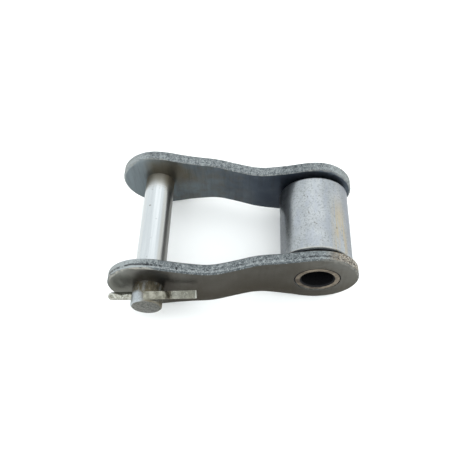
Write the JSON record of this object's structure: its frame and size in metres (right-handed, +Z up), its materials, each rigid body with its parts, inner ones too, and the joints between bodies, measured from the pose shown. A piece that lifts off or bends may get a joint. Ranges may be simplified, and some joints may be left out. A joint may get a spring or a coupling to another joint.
{
  "type": "roller chain offset link",
  "caption": "Cranked offset link of a roller chain, with a free roller on its bushing at one end and a link pin held by a split cotter at the other.",
  "frame": {"origin": "centre of the bushing bore, midway between the two plates", "axes": "+X from the link pin towards the roller, +Y along the bushing from the cotter's side to the pin's head, +Z up, square to both"},
  "size_m": [0.0614, 0.0422, 0.02],
  "materials": {
    "plate_steel": "shot-blasted, dull grey",
    "bushing_steel": "hardened, dull",
    "roller_steel": "bright, finely ground",
    "pin_steel": "bright, polished shank with a sawn, dull end",
    "cotter_steel": "drawn wire, satin"
  },
  "bodies": {
    "link": {"near_plate": "plate_steel", "far_plate": "plate_steel", "bushing": "bushing_steel", "link_pin": "pin_steel", "cotter_pin": "cotter_steel"},
    "roller": {"roller": "roller_steel"}
  },
  "joints": [
    {"name": "roller_spin", "type": "hinge", "parent": "link", "child": "roller", "pos_m": [0, 0, 0], "axis": [0, 1, 0], "continuous": true}
  ]
}
